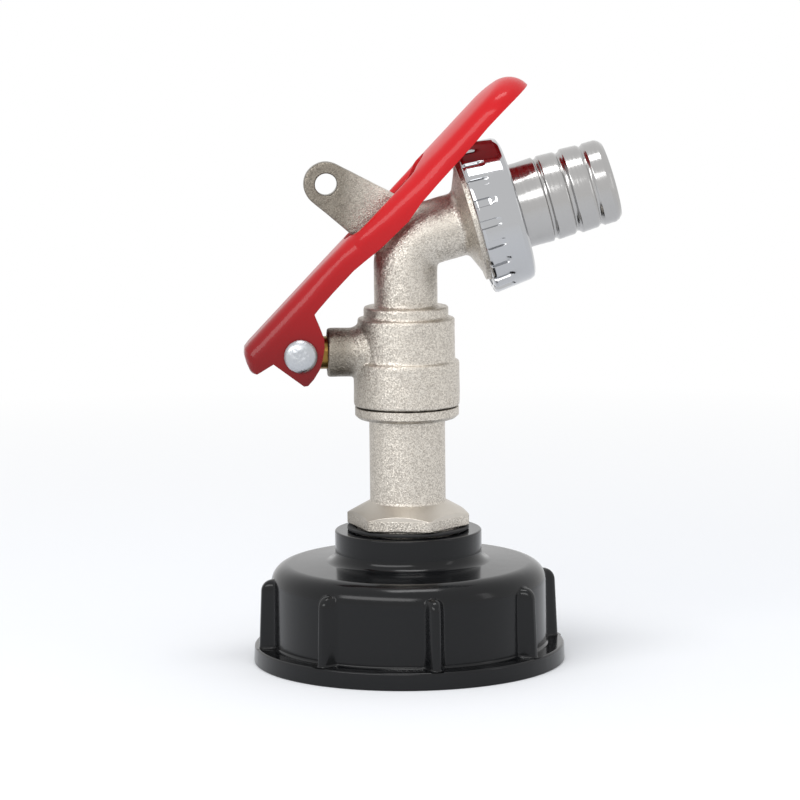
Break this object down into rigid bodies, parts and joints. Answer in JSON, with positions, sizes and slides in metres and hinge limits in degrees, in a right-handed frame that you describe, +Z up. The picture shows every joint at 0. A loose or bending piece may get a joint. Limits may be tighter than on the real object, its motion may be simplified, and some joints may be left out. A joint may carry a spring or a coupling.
{
  "type": "lockable ball bibcock with tank cap",
  "caption": "Lockable ball bibcock on a screw cap for a tank outlet: slotted lever over a padlock lug, bent spout and a barbed hose tail held by a union nut.",
  "frame": {"origin": "on the cap's axis in the plane of its lower rim, where the tank outlet goes in", "axes": "+Z up the valve's axis, +X the way the spout points, the stem boss points to -X and the lever swings in the XZ plane"},
  "size_m": [0.0942, 0.078, 0.1455],
  "materials": {
    "cap_plastic": "moulded black polypropylene, semi-gloss",
    "cap_rubber": "black rubber flat ring, matt",
    "washer_fibre": "thin black washer, matt",
    "cast_nickel": "blasted and nickel-plated brass casting, satin",
    "seal_rubber": "black rubber, matt",
    "seat_ptfe": "white PTFE, turned",
    "ball_chrome": "chrome-plated brass, polished",
    "stem_brass": "turned brass",
    "rivet_zinc": "zinc-plated steel, hammered head",
    "lever_red": "gloss red coating on pressed steel",
    "tail_steel": "turned and polished steel",
    "nut_chrome": "bright chrome plate"
  },
  "bodies": {
    "valve": {"ibc_cap": "cap_plastic", "cap_gasket": "cap_rubber", "inlet_washer": "washer_fibre", "inlet_tailpiece": "cast_nickel", "body_seal": "seal_rubber", "valve_body": "cast_nickel", "seat_inlet": "seat_ptfe", "seat_outlet": "seat_ptfe"},
    "spindle": {"stem": "stem_brass", "ball": "ball_chrome", "stem_thrust_washer": "seat_ptfe", "stem_o_ring_inner": "seal_rubber", "stem_o_ring_outer": "seal_rubber", "lever_rivet": "rivet_zinc"},
    "lever": {"lever": "lever_red"},
    "tail": {"hose_tail": "tail_steel", "tail_gasket": "seal_rubber"},
    "union": {"union_nut": "nut_chrome"}
  },
  "joints": [
    {"name": "stem_turn", "type": "hinge", "parent": "valve", "child": "spindle", "pos_m": [-0.02, 0, 0.07784], "axis": [1, 0, 0], "range_deg": [-2, 2]},
    {"name": "lever_lift", "type": "hinge", "parent": "spindle", "child": "lever", "pos_m": [-0.02657, 0, 0.07784], "axis": [0, -1, 0], "range_deg": [0, 45]},
    {"name": "tail_slide", "type": "slide", "parent": "valve", "child": "tail", "axis": [0.9636, 0, 0.2672], "range_m": [0, 0.0052]},
    {"name": "union_turn", "type": "hinge", "parent": "tail", "child": "union", "pos_m": [0, 0, 0.10563], "axis": [0.9636, 0, 0.2672], "range_deg": [0, 810]}
  ],
  "couplings": [
    {"joint": "tail_slide", "follows": "union_turn", "m_per_rad": 0.00036749}
  ]
}
